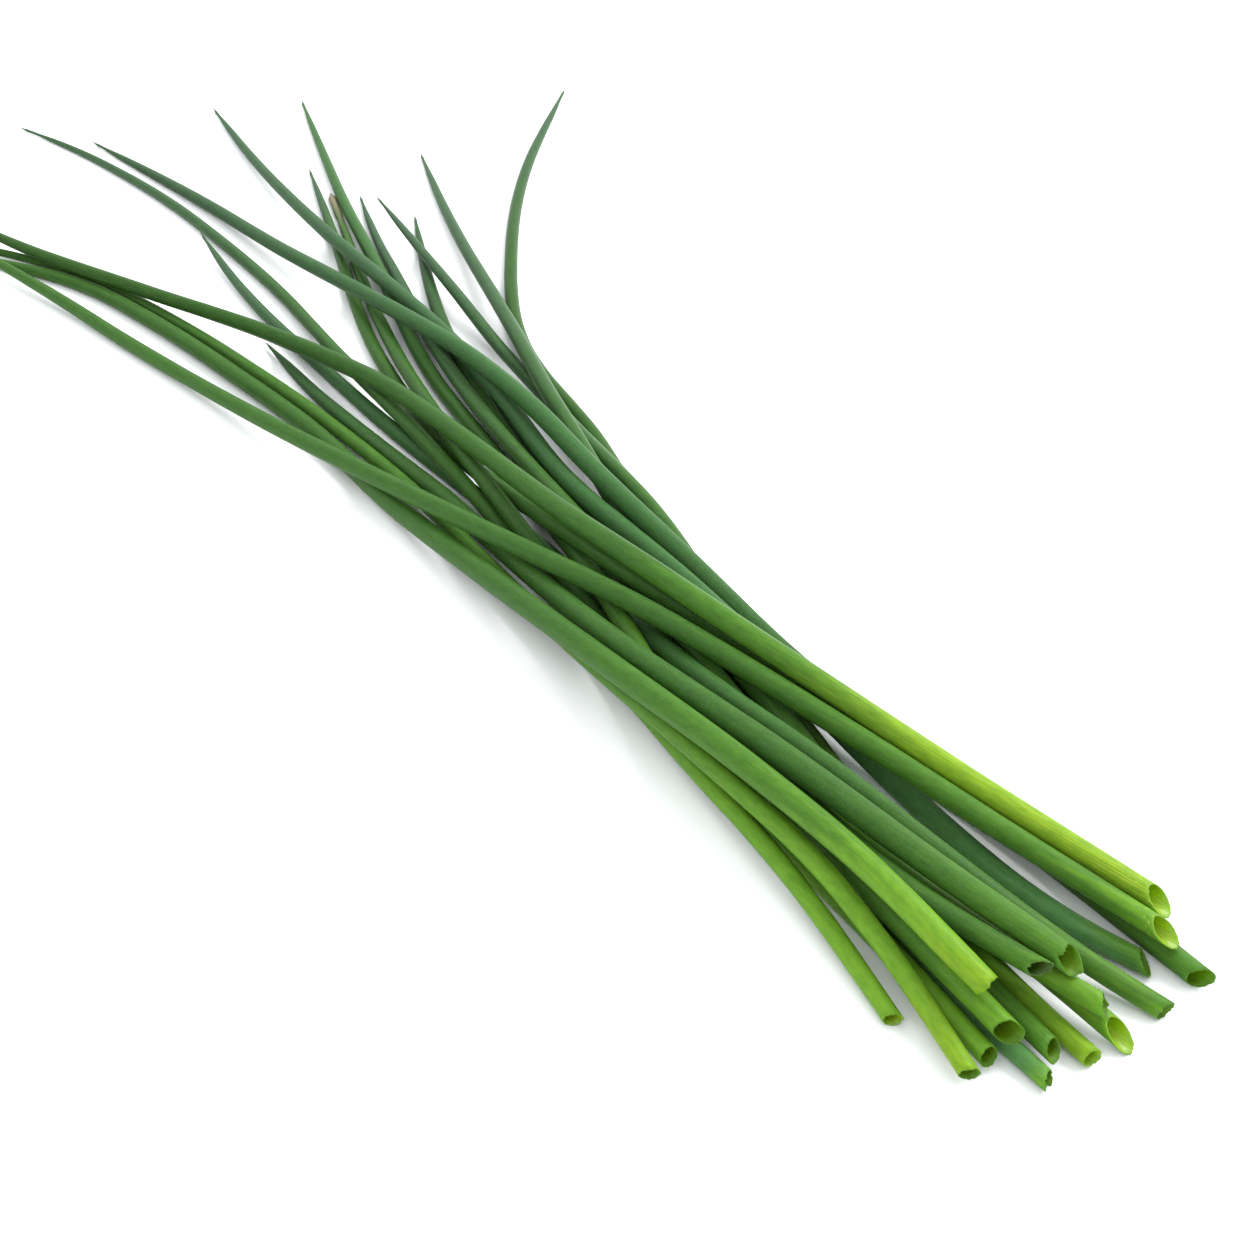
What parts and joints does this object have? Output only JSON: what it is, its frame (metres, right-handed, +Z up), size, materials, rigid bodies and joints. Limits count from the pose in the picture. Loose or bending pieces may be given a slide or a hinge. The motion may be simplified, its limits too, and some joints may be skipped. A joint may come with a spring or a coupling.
{
  "type": "chive bunch",
  "caption": "Loose bunch of cut chive leaves, hollow tapering tubes lying crossed in a low pile with cut ends at one side and pointed tips fanned out at the other.",
  "frame": {"origin": "on the table, under the middle of the bunch's box", "axes": "+X along the bunch towards the cut ends, +Z up from the table, +Y across the bunch"},
  "size_m": [0.3116, 0.1344, 0.0145],
  "materials": {
    "leaf_green": "waxy",
    "leaf_blue_green": "waxy",
    "leaf_lime": "waxy"
  },
  "bodies": {
    "root": {"leaf_01_far_curl": "leaf_green", "leaf_02_hidden_tip": "leaf_blue_green", "leaf_03_blunt_tip": "leaf_green", "leaf_04_far_short": "leaf_lime", "leaf_05_far_straight": "leaf_lime", "leaf_06_hidden_cut": "leaf_green", "leaf_07_near_dark": "leaf_blue_green", "leaf_08_outer_lime": "leaf_lime", "leaf_09_dry_tip": "leaf_green", "leaf_10_long_green": "leaf_green", "leaf_11_near_long": "leaf_lime", "leaf_12_blue_long": "leaf_blue_green", "leaf_13_blue_wide": "leaf_blue_green", "leaf_14_near_curve": "leaf_lime", "leaf_15_middle_wide": "leaf_blue_green", "leaf_16_bright_wide": "leaf_lime", "leaf_17_upper_green": "leaf_green", "leaf_18_top_lime": "leaf_lime"}
  },
  "joints": []
}
